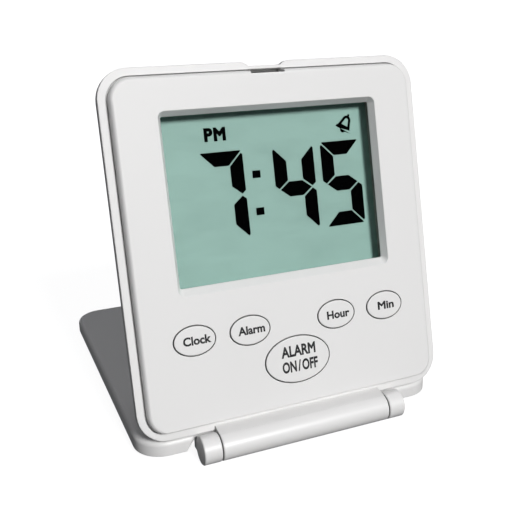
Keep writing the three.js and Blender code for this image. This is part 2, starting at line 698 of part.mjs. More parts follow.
// An oval cap, the flange that keeps it behind the panel, and the plunger that presses its dome.
function keyCap(key) {
  const y = PANEL_Y + key.y;
  const crown = 0.2; // rounding of the cap's front edge
  const inset = KEY_GAP + crown;
  const back = KEY_FLANGE_FRONT - KEY_FLANGE_T;
  const cap = ovalPlate(key.a - inset, key.b - inset, key.x, y, back + crown, FACE_Z + KEY_PROUD, crown);
  const flange = ovalPlate(key.a + KEY_FLANGE, key.b + KEY_FLANGE, key.x, y, back, KEY_FLANGE_FRONT);
  const plunger = post(1.6, key.x, y, KEY_END, back + crown, SMALL_ROUND);
  return named("key_" + key.name, union(cap, flange, plunger), plastic(WHITE));
}

// One rubber sheet with a hollow dome behind each key.
function keypadMat() {
  let mat = box(-31, 31, PANEL_Y - 34.8, PANEL_Y - 16.4, MAT_BACK, MAT_BACK + MAT_T);
  for (const key of KEYS) {
    const y = PANEL_Y + key.y;
    mat = mat.add(post(3.4, key.x, y, MAT_BACK + MAT_T / 2, DOME_TOP, SMALL_ROUND, 2.3));
    mat = mat.subtract(post(2.6, key.x, y, MAT_BACK - OVERCUT, MAT_BACK + 1.3, SMALL_ROUND, 2.1));
  }
  return named("keypad_mat", mat, rubber(KEYPAD_GREY));
}

// The carbon contact inside each dome.
function pill(key) {
  const shape = post(PILL_R, key.x, PANEL_Y + key.y, PILL_FRONT - PILL_T, PILL_FRONT, SMALL_ROUND);
  return named("pill_" + key.name, shape, rubber(CARBON));
}

// The board has an ear for each screw that stands outside it, and a round opening for the battery's cup.
function circuitBoard() {
  const earR = 2.4;
  let board = box(-BOARD_HALF_W, BOARD_HALF_W, BOARD_BOTTOM, BOARD_TOP, BOARD_BACK, BOARD_Z);
  for (const { x, y } of BOARD_SCREWS) {
    if (Math.abs(x) > BOARD_HALF_W) {
      const [x0, x1] = span(Math.sign(x), BOARD_HALF_W - 1, Math.abs(x));
      board = board.add(post(earR, x, y, BOARD_BACK, BOARD_Z, SMALL_ROUND));
      board = board.add(box(x0, x1, y - earR + 0.2, y + earR - 0.2, BOARD_BACK, BOARD_Z));
    }
    board = board.subtract(post(1, x, y, BOARD_BACK - OVERCUT, BOARD_Z + OVERCUT, SMALL_ROUND));
  }
  board = board.subtract(post(CUP_OUT + 0.6, CELL_X, CELL_Y, BOARD_BACK - OVERCUT, BOARD_Z + OVERCUT));
  return named("circuit_board", board, plastic(BOARD_GREEN));
}

// The parts on the board's back: the chip under its blob of epoxy, the crystal, and four small chips.
function boardParts() {
  const back = BOARD_BACK - 0.1;
  const blobProfile = [
    [0, 0],
    [4.6, 0],
    [4.2, 0.7],
    [2.6, 1.2],
    [0, 1.4],
  ].map(([r, h]) => new THREE.Vector2(r, h));
  const blob = new THREE.LatheGeometry(blobProfile, ROUND);
  blob.rotateX(-Math.PI / 2).translate(0, PANEL_Y - 12, back);
  const crystal = rod(1, 9, 15, PANEL_Y - 9, back - 1.1, SMALL_ROUND);
  const chip = (name, x, y, thick, color) => {
    const low = PANEL_Y + y;
    return named(name, box(x, x + 2, low, low + 1.25, back - thick, back), plastic(color));
  };
  return [
    named("clock_chip", solid(blob), plastic(EPOXY)),
    named("crystal", crystal, metal(STEEL)),
    chip("resistor_1", 10, -14.6, 0.5, RESISTOR_BLACK),
    chip("resistor_2", 10, -17.6, 0.5, RESISTOR_BLACK),
    chip("capacitor_1", -10, -14.6, 0.8, CAPACITOR_TAN),
    chip("capacitor_2", -10, -17.6, 0.8, CAPACITOR_TAN),
  ];
}

// ---------------------------------------------------------------------------
// Buzzer and wires
// ---------------------------------------------------------------------------
const DISC_BACK = BUZZER_SEAT + 0.15;
const DISC_T = 0.3;
const CERAMIC_BACK = DISC_BACK + DISC_T + 0.1;
const CERAMIC_T = 0.25;

function buzzer() {
  const disc = post(BUZZER_R, BUZZER_X, BUZZER_Y, DISC_BACK, DISC_BACK + DISC_T);
  const ceramic = post(BUZZER_R - 4, BUZZER_X, BUZZER_Y, CERAMIC_BACK, CERAMIC_BACK + CERAMIC_T);
  return [
    named("buzzer_disc", disc, metal(DISC_BRASS)),
    named("buzzer_ceramic", ceramic, plastic(PIEZO_WHITE)),
  ];
}

// Two wires run from the buzzer and two from the cell's contacts, each to the lower part of the board.
function wires() {
  const radius = 0.4;
  const board = BOARD_BACK - 0.5;
  const disc = BUZZER_SEAT + 1.4;
  const rise = disc + 0.6;
  const exit = CELL_Y - CUP_OUT - 2;
  const cupSide = CUP_FLOOR - 1.2;
  const bend = BUZZER_Y - 10;
  const drop = PANEL_Y - 6;
  const hump = board - 1;
  const discPad = PANEL_Y - 9;
  const cellPad = PANEL_Y - 11;
  const run = (name, color, ...points) => named(name, wire(points, radius), rubber(color));
  return [
    run("buzzer_wire_1", WIRE_RED, [14.5, BUZZER_Y, disc], [20, bend, rise], [24, discPad, board]),
    run("buzzer_wire_2", WIRE_BLACK, [27.5, BUZZER_Y, disc], [29, bend, rise], [27, discPad, board]),
    run("battery_wire_1", WIRE_RED, [-14.9, exit, CELL_BACK + 3], [-12, drop, hump], [-13, cellPad, board]),
    run("battery_wire_2", WIRE_BLACK, [-17.5, exit, cupSide], [-18, drop, hump], [-17, cellPad, board]),
  ];
}

// ---------------------------------------------------------------------------
// Screws and hinge pins
// ---------------------------------------------------------------------------
// A pan-head screw along z, with its head's seat at the given height and a cross-slot in the head.
function screw(name, { x, y }, seat, headR, headH, shankR, length) {
  const under = seat - 0.2; // the head stands a little clear of its seat
  const head = post(headR, x, y, under - headH, under, SMALL_ROUND);
  const shank = post(shankR, x, y, under - 0.1, seat + length, SMALL_ROUND);
  const slot = headR * 0.65;
  const half = headR * 0.15;
  const low = under - headH - OVERCUT;
  const deep = under - headH / 2;
  const cross = union(
    box(x - slot, x + slot, y - half, y + half, low, deep),
    box(x - half, x + half, y - slot, y + slot, low, deep),
  );
  return named(name, union(head, shank).subtract(cross), metal(ZINC));
}

function screws() {
  return [
    ...CASE_SCREWS.map((at, i) => screw("case_screw_" + (i + 1), at, SCREW_SEAT, 1.9, 1.2, 0.9, 8)),
    ...BOARD_SCREWS.map((at, i) => screw("board_screw_" + (i + 1), at, BOARD_BACK, 1.7, 0.9, 0.75, 4.5)),
  ];
}

function hingePin(name, side) {
  const [x0, x1] = span(side, BARREL_HALF - BORE_D + 0.5, KNUCKLE_OUT - 0.8);
  return named(name, rod(PIN_R, x0, x1, 0, 0, SMALL_ROUND), metal(STEEL));
}

// ---------------------------------------------------------------------------
// Cover
// ---------------------------------------------------------------------------
const RIM_Z = FLANGE_Z + RIM_GAP; // the rim, in the folded frame
const COVER_Z = RIM_Z + COVER_H; // its outer face
const COVER_UNDER = COVER_Z - COVER_TOP; // and the inner face below it
const KNUCKLE_GAP = 0.3;
const KNUCKLE_IN = BARREL_HALF + KNUCKLE_GAP;
const CATCH_HALF = 3.8;
const CATCH_T = 0.3;

// The cover's outline, drawn in by the given amount.
const coverOutline = (inset) =>
  roundedRect(FLANGE_W - 2 * inset, FLANGE_H - 2 * inset, FLANGE_CORNER - inset, FLANGE_Y);

function coverTray() {
  const below = box(-60, 60, -10, 110, RIM_Z - 20, RIM_Z);
  return cut(
    solid(plate(coverOutline(COVER_EDGE), RIM_Z - 3, COVER_Z, { edge: COVER_EDGE, edgeSteps: 4 })),
    below,
    solid(plate(coverOutline(COVER_WALL), RIM_Z - OVERCUT, COVER_UNDER)),
  );
}

// The cover's wall is cut away on a slant beside each knuckle.
function wallRelief(side) {
  const slant = 3;
  const shape = new THREE.Shape();
  shape.moveTo(side * (KNUCKLE_OUT + slant), RIM_Z - OVERCUT);
  shape.lineTo(side * KNUCKLE_OUT, RIM_Z - OVERCUT);
  shape.lineTo(side * KNUCKLE_OUT, COVER_UNDER);
  shape.lineTo(side * (KNUCKLE_OUT + 0.7), COVER_UNDER);
  // Drawn in x and height, and turned so that it runs along y through the wall.
  const geometry = new THREE.ExtrudeGeometry(shape, { depth: COVER_WALL + 1.5, bevelEnabled: false });
  return solid(geometry.rotateX(Math.PI / 2).translate(0, HINGE_DROP + COVER_WALL + 0.5, 0));
}

// A knuckle, and the web that joins it to the cover.
function knuckle(side) {
  const [x0, x1] = span(side, KNUCKLE_IN, KNUCKLE_OUT);
  const web = box(x0, x1, 0.5, HINGE_DROP + 1, RIM_Z, COVER_Z - COVER_EDGE);
  const reach = rod(BARREL_R + 0.45, x0, x1, 0, 0, BARREL_ROUND);
  return union(chamferedRod(BARREL_R, x0, x1, BARREL_CHAMFER, BARREL_ROUND), web.intersect(reach));
}

// The pin's bore, blind at the knuckle's outer end.
function knuckleBore(side) {
  const [x0, x1] = span(side, KNUCKLE_IN - OVERCUT, KNUCKLE_OUT - 0.6);
  return rod(PIN_BORE, x0, x1, 0, 0, SMALL_ROUND);
}

// The catch reaches in from the far wall and engages the slot in the panel's edge.
function coverCatch() {
  const farWall = flangeTop - COVER_WALL + 0.5;
  const level = FLANGE_Z + SLOT_H / 2;
  return box(-CATCH_HALF, CATCH_HALF, panelTop - 0.6, farWall, level - CATCH_T / 2, level + CATCH_T / 2);
}

function cover() {
  // Between its knuckles the cover stops short of the clock's barrel and neck.
  const barrelRoom = box(-KNUCKLE_IN, KNUCKLE_IN, -10, HINGE_DROP + 1.8, RIM_Z - 5, COVER_Z + 5);
  let shell = cut(coverTray(), barrelRoom, wallRelief(-1), wallRelief(1));
  for (const side of [-1, 1]) {
    shell = union(shell, knuckle(side)).subtract(knuckleBore(side));
  }
  return named("cover", shell.add(coverCatch()), plastic(WHITE));
}

// ---------------------------------------------------------------------------
// Assembly
// ---------------------------------------------------------------------------
const coverLength = HINGE_DROP + FLANGE_H; // hinge axis to the cover's far edge
const axisAboveRim = -RIM_Z; // folded frame's z = 0 is the hinge axis
const TILT = Math.asin((BARREL_R - axisAboveRim) / coverLength); // barrel and far rim both touch the table
const hingeY = (BARREL_R - coverLength * Math.cos(TILT)) / 2;

const clockBody = new THREE.Group();
clockBody.add(frontCase(), rearCase(), batteryDoor(), coinCell(), negativeContact(), positiveContact());
clockBody.add(...display(), displayFrame(), ...zebraStrips());
clockBody.add(...KEYS.map(keyCap), keypadMat(), ...KEYS.map(pill));
clockBody.add(circuitBoard(), ...boardParts(), ...buzzer(), ...wires(), ...screws());
clockBody.rotation.x = Math.PI / 2 - LEAN;
clockBody.position.set(0, hingeY, BARREL_R);

const coverGroup = new THREE.Group();
coverGroup.add(cover(), hingePin("hinge_pin_left", -1), hingePin("hinge_pin_right", 1));
coverGroup.rotation.x = -TILT;
coverGroup.position.set(0, hingeY, BARREL_R);

const travelClock = new THREE.Group();
travelClock.add(clockBody, coverGroup);

export default travelClock;
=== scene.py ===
"""Looks for the folding travel alarm clock: printed display and keys, materials, studio light and camera.

Units are metres in the frame of the CAD model. The clock's own face has its own axes, origin at the hinge:
x to the right, y up along the face, z out of it. Sizes on the face are in millimetres, times MM.
"""

import json
import math

import bmesh
import bpy
from mathutils import Matrix, Vector


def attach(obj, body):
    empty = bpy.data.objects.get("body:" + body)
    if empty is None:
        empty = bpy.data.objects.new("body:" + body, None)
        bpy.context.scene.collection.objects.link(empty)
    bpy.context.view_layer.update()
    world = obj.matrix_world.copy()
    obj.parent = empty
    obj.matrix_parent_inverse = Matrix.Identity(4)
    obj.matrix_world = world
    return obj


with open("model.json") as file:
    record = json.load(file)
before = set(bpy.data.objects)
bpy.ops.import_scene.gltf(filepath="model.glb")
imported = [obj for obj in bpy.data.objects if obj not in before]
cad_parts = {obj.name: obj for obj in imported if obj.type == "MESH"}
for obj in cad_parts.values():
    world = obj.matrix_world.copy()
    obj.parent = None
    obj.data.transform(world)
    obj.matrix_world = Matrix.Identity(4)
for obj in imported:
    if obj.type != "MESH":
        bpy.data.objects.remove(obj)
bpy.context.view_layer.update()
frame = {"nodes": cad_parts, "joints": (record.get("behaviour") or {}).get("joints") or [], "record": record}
NODES = frame["nodes"]
JOINTS = {joint["name"]: joint for joint in frame["joints"]}

MM = 0.001

# ---------------------------------------------------------------------------
# The face's axes, from the hinge and the direction in which the keys move
# ---------------------------------------------------------------------------
OUT = -Vector(JOINTS["key_clock_press"]["axis"]).normalized()
RIGHT = Vector((1, 0, 0))
UP = OUT.cross(RIGHT)
HINGE = Vector(JOINTS["cover_hinge"]["pos_m"])
FACE = Matrix.Translation(HINGE) @ Matrix((RIGHT, UP, OUT)).transposed().to_4x4()


def on_face(node):
    """(lowest corner, highest corner) of a CAD node in the face's axes, in metres."""
    to_face = FACE.inverted()
    points = [to_face @ vertex.co for vertex in NODES[node].data.vertices]
    low = Vector(min(point[i] for point in points) for i in range(3))
    high = Vector(max(point[i] for point in points) for i in range(3))
    return low, high


# ---------------------------------------------------------------------------
# Camera
# ---------------------------------------------------------------------------
CAMERA_PLACE = Vector((-74.8, -192.8, 111.8)) * MM
CAMERA_HEADING = math.radians(22.93)  # from +Y towards +X
CAMERA_DOWN = math.radians(19.62)
CAMERA_ROLL = math.radians(-0.25)
CAMERA_LENS = 51.67
CAMERA_SHIFT = (-0.0009, -0.0275)


def make_camera():
    data = bpy.data.cameras.new("camera")
    data.lens = CAMERA_LENS
    data.shift_x, data.shift_y = CAMERA_SHIFT
    data.clip_start = 0.01
    camera = bpy.data.objects.new("camera", data)
    bpy.context.scene.collection.objects.link(camera)
    turn = Matrix.Rotation(-CAMERA_HEADING, 4, "Z") @ Matrix.Rotation(math.pi / 2 - CAMERA_DOWN, 4, "X")
    camera.matrix_world = Matrix.Translation(CAMERA_PLACE) @ turn @ Matrix.Rotation(CAMERA_ROLL, 4, "Z")
    bpy.context.scene.camera = camera


make_camera()


# ---------------------------------------------------------------------------
# Node helpers
# ---------------------------------------------------------------------------
class Tree:
    """A material's nodes, made one call at a time."""

    def __init__(self, name):
        self.material = bpy.data.materials.new(name)
        self.material.use_nodes = True
        self.nodes = self.material.node_tree.nodes
        self.links = self.material.node_tree.links
        self.nodes.clear()

    def add(self, kind, inputs=None, **settings):
        node = self.nodes.new("ShaderNode" + kind)
        for key, value in settings.items():
            setattr(node, key, value)
        for key, value in (inputs or {}).items():
            self.feed(node.inputs[key], value)
        return node

    def feed(self, socket, value):
        if isinstance(value, bpy.types.NodeSocket):
            self.links.new(value, socket)
        elif isinstance(value, (tuple, list)) and len(value) == 3 and len(socket.default_value) == 4:
            socket.default_value = (*value, 1.0)
        else:
            socket.default_value = value

    def coordinates(self):
        return self.add("TexCoord").outputs["Object"]

    def noise(self, scale, detail=2.0, roughness=0.5, stretch=None):
        """Noise about 0.5 on average. Its largest features are about 1 / scale metres wide."""
        vector = self.coordinates()
        if stretch:
            vector = self.add("Mapping", {"Vector": vector, "Scale": stretch}).outputs["Vector"]
        inputs = {"Vector": vector, "Scale": scale, "Detail": detail, "Roughness": roughness}
        return self.add("TexNoise", inputs).outputs["Fac"]

    def ranged(self, value, low, high, from_low=0.0, from_high=1.0):
        inputs = {0: value, 1: from_low, 2: from_high, 3: low, 4: high}
        return self.add("MapRange", inputs).outputs["Result"]

    def blend(self, share, first, second):
        """From the first colour at share 0 to the second at share 1."""
        node = self.add("Mix", data_type="RGBA")
        self.feed(node.inputs[0], share)
        self.feed(node.inputs[6], first)
        self.feed(node.inputs[7], second)
        return node.outputs[2]

    def math(self, operation, first, second=0.0):
        node = self.add("Math", operation=operation)
        self.feed(node.inputs[0], first)
        self.feed(node.inputs[1], second)
        return node.outputs[0]

    def edges(self, radius):
        """(1 on sharp edges and 0 on flat faces, normals with those edges rounded)."""
        rounded = self.add("Bevel", {"Radius": radius}, samples=4).outputs["Normal"]
        plain = self.add("NewGeometry").outputs["Normal"]
        dot = self.add("VectorMath", {0: rounded, 1: plain}, operation="DOT_PRODUCT").outputs["Value"]
        return self.ranged(dot, 1.0, 0.0, 0.80, 0.995), rounded

    def hollows(self, distance):
        """1 in the open, less in seams and corners."""
        node = self.add("AmbientOcclusion", {"Distance": distance}, samples=8)
        return node.outputs["AO"]

    def bump(self, height, strength, distance, normal=None):
        inputs = {"Height": height, "Strength": strength, "Distance": distance}
        if normal:
            inputs["Normal"] = normal
        return self.add("Bump", inputs).outputs["Normal"]

    def finish(self, shader):
        output = self.add("OutputMaterial")
        self.links.new(shader, output.inputs["Surface"])
        return self.material


def surface(tree, colour, roughness, normal=None, **plain):
    """The one shader of an opaque material. The plain values are set on its own sockets."""
    inputs = {"Base Color": colour, "Roughness": roughness}
    if normal:
        inputs["Normal"] = normal
    for key, value in plain.items():
        inputs[key.replace("_", " ")] = value
    return tree.add("BsdfPrincipled", inputs).outputs["BSDF"]


# ---------------------------------------------------------------------------
# Materials
# ---------------------------------------------------------------------------
WHITE_ABS = (0.80, 0.793, 0.785)
SEAM_DEPTH = 0.8 * MM  # corners and gaps narrower than this get painted shade
SEAM_PAINTED_SHADE = 0.7  # how much painted shade darkens the deepest ones


def scaled(colour, share):
    return [min(1.0, channel * share) for channel in colour]


def moulded(name, colour, shine, texture=None):
    """Injection-moulded plastic: flow marks, fine grain, rubbed edges that are smoother and also painted
    lighter as a highlight, and painted shade darkening the seams and corners.

    Faces that look the way the clock's face does take the texture roughness, where one is given: their side
    of the mould is spark-eroded and the rest is polished.
    """
    tree = Tree(name)
    flow = tree.noise(22, detail=3, roughness=0.55, stretch=(1, 1, 0.35))
    speckle = tree.noise(2500)
    fine = tree.noise(4200, detail=1)
    edges, rounded = tree.edges(0.2 * MM)
    tone = tree.blend(tree.ranged(flow, 0, 1, 0.3, 0.7), scaled(colour, 0.975), colour)
    tone = tree.blend(tree.ranged(speckle, 0, 0.05, 0.35, 0.75), tone, scaled(colour, 0.9))
    # Painted highlight: sharp edges are painted lighter; their lower roughness further down is real rubbing.
    tone = tree.blend(tree.math("MULTIPLY", edges, 0.35), tone, scaled(colour, 1.05))
    # Painted shade: seams and corners are darkened towards a fifth of the colour where little light reaches
    # them.
    painted_seam_shade = tree.ranged(tree.hollows(SEAM_DEPTH), SEAM_PAINTED_SHADE, 0, 0.25, 0.8)
    tone = tree.blend(painted_seam_shade, tone, scaled(colour, 0.2))
    base = shine
    if texture:
        inputs = {0: tree.add("TexCoord").outputs["Normal"], 1: tuple(OUT)}
        facing = tree.add("VectorMath", inputs, operation="DOT_PRODUCT").outputs["Value"]
        base = tree.ranged(facing, shine, texture, 0.98, 0.995)
    rough = tree.math("ADD", base, tree.ranged(speckle, -0.015, 0.015, 0.3, 0.7))
    rough = tree.math("ADD", rough, tree.ranged(flow, -0.02, 0.02))
    rough = tree.math("SUBTRACT", rough, tree.math("MULTIPLY", edges, 0.08))
    normal = tree.bump(fine, 0.05, 0.01 * MM, rounded)
    return tree.finish(surface(tree, tone, rough, normal, IOR=1.5))


def pane(name, tint, mirror):
    """A clear flat pane that mirrors more at a slant. Wipe marks dull what shows through it a little."""
    tree = Tree(name)
    facing = tree.add("LayerWeight", {"Blend": 0.5}).outputs["Facing"]
    share = tree.ranged(tree.math("POWER", facing, 5), mirror, 0.8)
    wiped = tree.noise(60, detail=4, roughness=0.6, stretch=(1, 1, 3))
    colour = tree.blend(tree.ranged(wiped, 0, 0.1, 0.45, 0.75), tint, scaled(tint, 0.85))
    rough = tree.ranged(wiped, 0.02, 0.09)
    clear = tree.add("BsdfTransparent", {"Color": colour}).outputs[0]
    gloss = tree.add("BsdfGlossy", {"Color": (1, 1, 1), "Roughness": rough}).outputs[0]
    mixed = tree.add("MixShader", {0: share, 1: clear, 2: gloss}).outputs[0]
    return tree.finish(mixed)


def reflector():
    """The display's backing: a grey-green foil with a fine satin grain."""
    tree = Tree("lcd_reflector")
    green = (0.350, 0.515, 0.478)
    cloud = tree.noise(40, detail=3)
    grain = tree.noise(5200, detail=1)
    tone = tree.blend(tree.ranged(cloud, 0, 1, 0.3, 0.7), scaled(green, 0.97), scaled(green, 1.02))
    tone = tree.blend(tree.ranged(grain, 0, 0.10, 0.35, 0.65), tone, scaled(green, 0.8))
    normal = tree.bump(grain, 0.1, 0.02 * MM)
    return tree.finish(surface(tree, tone, tree.ranged(grain, 0.5, 0.7), normal))


def display_ink():
    """The darkened liquid crystal: near black, a little uneven where the polarizer's grain shows."""
    tree = Tree("display_ink")
    grain = tree.noise(5200, detail=1)
    tone = tree.blend(tree.ranged(grain, 0, 1, 0.3, 0.7), (0.0002, 0.0002, 0.0003), (0.0008, 0.001, 0.001))
    return tree.finish(surface(tree, tone, tree.ranged(grain, 0.55, 0.75), Specular_IOR_Level=0.0))


def label_ink():
    """Pad-printed black ink, thinner here and there, with a rough dry surface."""
    tree = Tree("label_ink")
    thin = tree.noise(1800, detail=3)
    tone = tree.blend(tree.ranged(thin, 0, 0.6, 0.45, 0.8), (0.004, 0.004, 0.005), (0.03, 0.03, 0.03))
    normal = tree.bump(thin, 0.15, 0.02 * MM)
    return tree.finish(surface(tree, tone, tree.ranged(thin, 0.45, 0.7), normal))


def rubber(name, colour, stripes=None):
    """Moulded silicone rubber, dusted matt; the connector's conducting layers show as stripes."""
    tree = Tree(name)
    dust = tree.noise(300, detail=4, roughness=0.65)
    tone = tree.blend(tree.ranged(dust, 0, 0.5, 0.45, 0.8), colour, scaled(colour, 1.5))
    if stripes:
        inputs = {"Vector": tree.coordinates(), "Scale": stripes}
        bands = tree.add("TexWave", inputs, bands_direction="X").outputs["Fac"]
        tone = tree.blend(tree.ranged(bands, 0, 1, 0.35, 0.65), tone, scaled(colour, 3.5))
    normal = tree.bump(dust, 0.2, 0.05 * MM)
    return tree.finish(surface(tree, tone, tree.ranged(dust, 0.7, 0.9), normal))


def metal(name, colour, shine, brushed=(1, 1, 1)):
    """Plated or rolled metal: brush lines along one direction, duller and darker spots of handling."""
    tree = Tree(name)
    brush = tree.noise(1500, detail=2, stretch=brushed)
    spots = tree.noise(180, detail=5, roughness=0.65)
    edges, rounded = tree.edges(0.15 * MM)
    tone = tree.blend(tree.ranged(spots, 0, 0.5, 0.5, 0.8), colour, scaled(colour, 0.6))
    tone = tree.blend(tree.math("MULTIPLY", edges, 0.5), tone, scaled(colour, 1.2))
    rough = tree.math("ADD", tree.ranged(brush, shine - 0.06, shine + 0.06), tree.ranged(spots, -0.04, 0.08))
    normal = tree.bump(brush, 0.12, 0.01 * MM, rounded)
    return tree.finish(surface(tree, tone, rough, normal, Metallic=1.0))


def solder_mask():
    """Green lacquer over copper tracks on a glass-cloth board."""
    tree = Tree("circuit_board")
    bricks = {"Scale": 260.0, "Brick Width": 0.9, "Row Height": 0.3, "Mortar Size": 0.035}
    inputs = {"Vector": tree.coordinates(), **bricks}
    tracks = tree.add("TexBrick", inputs, offset=0.5).outputs["Fac"]
    cloth = tree.noise(2400, detail=1, stretch=(1, 0.2, 1))
    tone = tree.blend(tracks, (0.012, 0.105, 0.035), (0.05, 0.21, 0.07))
    tone = tree.blend(tree.ranged(cloth, 0, 0.25, 0.4, 0.7), tone, (0.02, 0.16, 0.05))
    height = tree.math("ADD", tracks, tree.math("MULTIPLY", cloth, 0.2))
    return tree.finish(surface(tree, tone, tree.ranged(cloth, 0.25, 0.4), tree.bump(height, 0.3, 0.03 * MM)))


def fired(name, colour, shine):
    """Cast or fired material: mottled, with fine pits."""
    tree = Tree(name)
    mottle = tree.noise(700, detail=4, roughness=0.6)
    pits = tree.noise(2600, detail=1)
    tone = tree.blend(tree.ranged(mottle, 0, 1, 0.35, 0.7), colour, scaled(colour, 0.8))
    tone = tree.blend(tree.ranged(pits, 0, 0.6, 0.68, 0.8), tone, scaled(colour, 0.4))
    normal = tree.bump(pits, 0.15, 0.02 * MM)
    return tree.finish(surface(tree, tone, tree.ranged(mottle, shine - 0.08, shine + 0.08), normal))


def stage_floor():
    """Pale paper that glows, so that the ground stays white and the clock's shadow on it is faint."""
    tree = Tree("floor")
    tone = tree.ranged(tree.noise(3, detail=4), 0.28, 0.32)
    colour = tree.add("CombineColor", {0: tone, 1: tone, 2: tone}).outputs[0]
    return tree.finish(surface(tree, colour, 0.85, Emission_Color=(1, 1, 1), Emission_Strength=0.92))


MATERIALS = {
    "case_plastic": moulded("case_plastic", WHITE_ABS, 0.36, texture=0.52),
    "cover_plastic": moulded("cover_plastic", WHITE_ABS, 0.40),
    "key_plastic": moulded("key_plastic", WHITE_ABS, 0.45),
    "clear_lens": pane("clear_lens", (0.985, 0.99, 0.985), mirror=0.003),
    "lcd_glass": pane("lcd_glass", (0.965, 0.985, 0.975), mirror=0.0005),
    "lcd_reflector": reflector(),
    "frame_plastic": moulded("frame_plastic", (0.70, 0.69, 0.65), 0.45),
    "zebra_rubber": rubber("zebra_rubber", (0.06, 0.06, 0.065), stripes=900.0),
    "keypad_rubber": rubber("keypad_rubber", (0.42, 0.42, 0.40)),
    "carbon_pill": rubber("carbon_pill", (0.02, 0.02, 0.02)),
    "circuit_board": solder_mask(),
    "black_epoxy": fired("black_epoxy", (0.012, 0.012, 0.013), 0.22),
    "capacitor_ceramic": fired("capacitor_ceramic", (0.42, 0.29, 0.16), 0.45),
    "plated_steel": metal("plated_steel", (0.55, 0.56, 0.57), 0.32),
    "cell_steel": metal("cell_steel", (0.66, 0.67, 0.68), 0.26, brushed=(0.05, 1, 1)),
    "contact_brass": metal("contact_brass", (0.70, 0.50, 0.20), 0.30, brushed=(1, 0.05, 1)),
    "buzzer_ceramic": fired("buzzer_ceramic", (0.62, 0.61, 0.58), 0.5),
    "wire_red": fired("wire_red", (0.42, 0.02, 0.015), 0.4),
    "wire_black": fired("wire_black", (0.015, 0.015, 0.015), 0.4),
}
DISPLAY_INK = display_ink()
LABEL_INK = label_ink()


# ---------------------------------------------------------------------------
# Carried-over CAD nodes
# ---------------------------------------------------------------------------
JOIN_DISTANCE = 0.002 * MM
SHARP_ANGLE = math.radians(32)


def smoothing():
    """Geometry nodes: join the mesh's split corners, then shade it smooth except at its sharp edges."""
    group = bpy.data.node_groups.new("smoothing", "GeometryNodeTree")
    group.interface.new_socket("Geometry", in_out="INPUT", socket_type="NodeSocketGeometry")
    group.interface.new_socket("Geometry", in_out="OUTPUT", socket_type="NodeSocketGeometry")
    nodes, links = group.nodes, group.links
    entry = nodes.new("NodeGroupInput")
    join = nodes.new("GeometryNodeMergeByDistance")
    join.inputs["Distance"].default_value = JOIN_DISTANCE
    faces = nodes.new("GeometryNodeSetShadeSmooth")
    bend = nodes.new("GeometryNodeInputMeshEdgeAngle")
    over = nodes.new("FunctionNodeCompare")
    over.inputs[1].default_value = SHARP_ANGLE
    sharp = nodes.new("GeometryNodeSetShadeSmooth")
    sharp.domain = "EDGE"
    sharp.inputs["Shade Smooth"].default_value = False
    leave = nodes.new("NodeGroupOutput")
    chain = [entry, join, faces, sharp, leave]
    for before, after in zip(chain, chain[1:]):
        links.new(before.outputs[0], after.inputs[0])
    links.new(bend.outputs["Unsigned Angle"], over.inputs[0])
    links.new(over.outputs[0], sharp.inputs["Selection"])
    return group


SMOOTHING = smoothing()


def soften(node):
    smooth = node.modifiers.new("smooth", "NODES")
    smooth.node_group = SMOOTHING
    even = node.modifiers.new("even", "WEIGHTED_NORMAL")
    even.keep_sharp = True


for node in NODES.values():
    soften(node)
for part in frame["record"]["subparts"]:
    NODES[part["node"]].material_slots[0].material = MATERIALS[part["material_slot"]]
# Light would cross the panes' six surfaces on its way in and again on its way out, more than Cycles follows.
for name in ("window_lens", "lcd_front_glass", "lcd_rear_glass"):
    NODES[name].visible_shadow = False
    NODES[name].visible_diffuse = False


# ---------------------------------------------------------------------------
# Flat printed shapes
# ---------------------------------------------------------------------------
def outline_curve(name, outlines):
    """A filled flat curve of closed outlines, each a list of (x, y); one inside another is a hole."""
    curve = bpy.data.curves.new(name, "CURVE")
    curve.dimensions = "2D"
    curve.fill_mode = "BOTH"
    for outline in outlines:
        spline = curve.splines.new("POLY")
        spline.points.add(len(outline) - 1)
        for point, (x, y) in zip(spline.points, outline):
            point.co = (x, y, 0, 1)
        spline.use_cyclic_u = True
    return curve


CAPITAL_SHARE = 0.682  # a capital's height in the built-in font, beside its size


def text_curve(name, words, height, weight, word_gap=1.0):
    """Words with capitals of the given height, centred on the origin; weight thickens the strokes."""
    curve = bpy.data.curves.new(name, "FONT")
    curve.body = words
    curve.size = height / CAPITAL_SHARE
    curve.bevel_depth = weight * height
    curve.bevel_resolution = 1
    curve.space_word = word_gap
    curve.align_x = "CENTER"
    curve.align_y = "CENTER"
    curve.resolution_u = 4
    return curve


def stamp(name, curve, place, thick, ink, body):
    """Turns a curve into a thin closed mesh at the given place on the face, and lets it ride on a body."""
    if curve.bevel_depth == 0:
        curve.extrude = thick / 2
    place = place @ Matrix.Diagonal((1, 1, thick / 2 / (curve.extrude + curve.bevel_depth), 1))
    maker = bpy.data.objects.new(name, curve)
    bpy.context.scene.collection.objects.link(maker)
    depsgraph = bpy.context.evaluated_depsgraph_get()
    mesh = bpy.data.meshes.new_from_object(maker.evaluated_get(depsgraph))
    bpy.data.objects.remove(maker)
    mesh.name = name
    shape = bmesh.new()
    shape.from_mesh(mesh)
    bmesh.ops.remove_doubles(shape, verts=shape.verts, dist=0.001 * MM)
    bmesh.ops.transform(shape, matrix=FACE @ place, verts=shape.verts)
    shape.to_mesh(mesh)
    shape.free()
    mesh.materials.clear()
    mesh.materials.append(ink)
    piece = bpy.data.objects.new(name, mesh)
    piece.visible_shadow = False
    bpy.context.scene.collection.objects.link(piece)
    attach(piece, body)


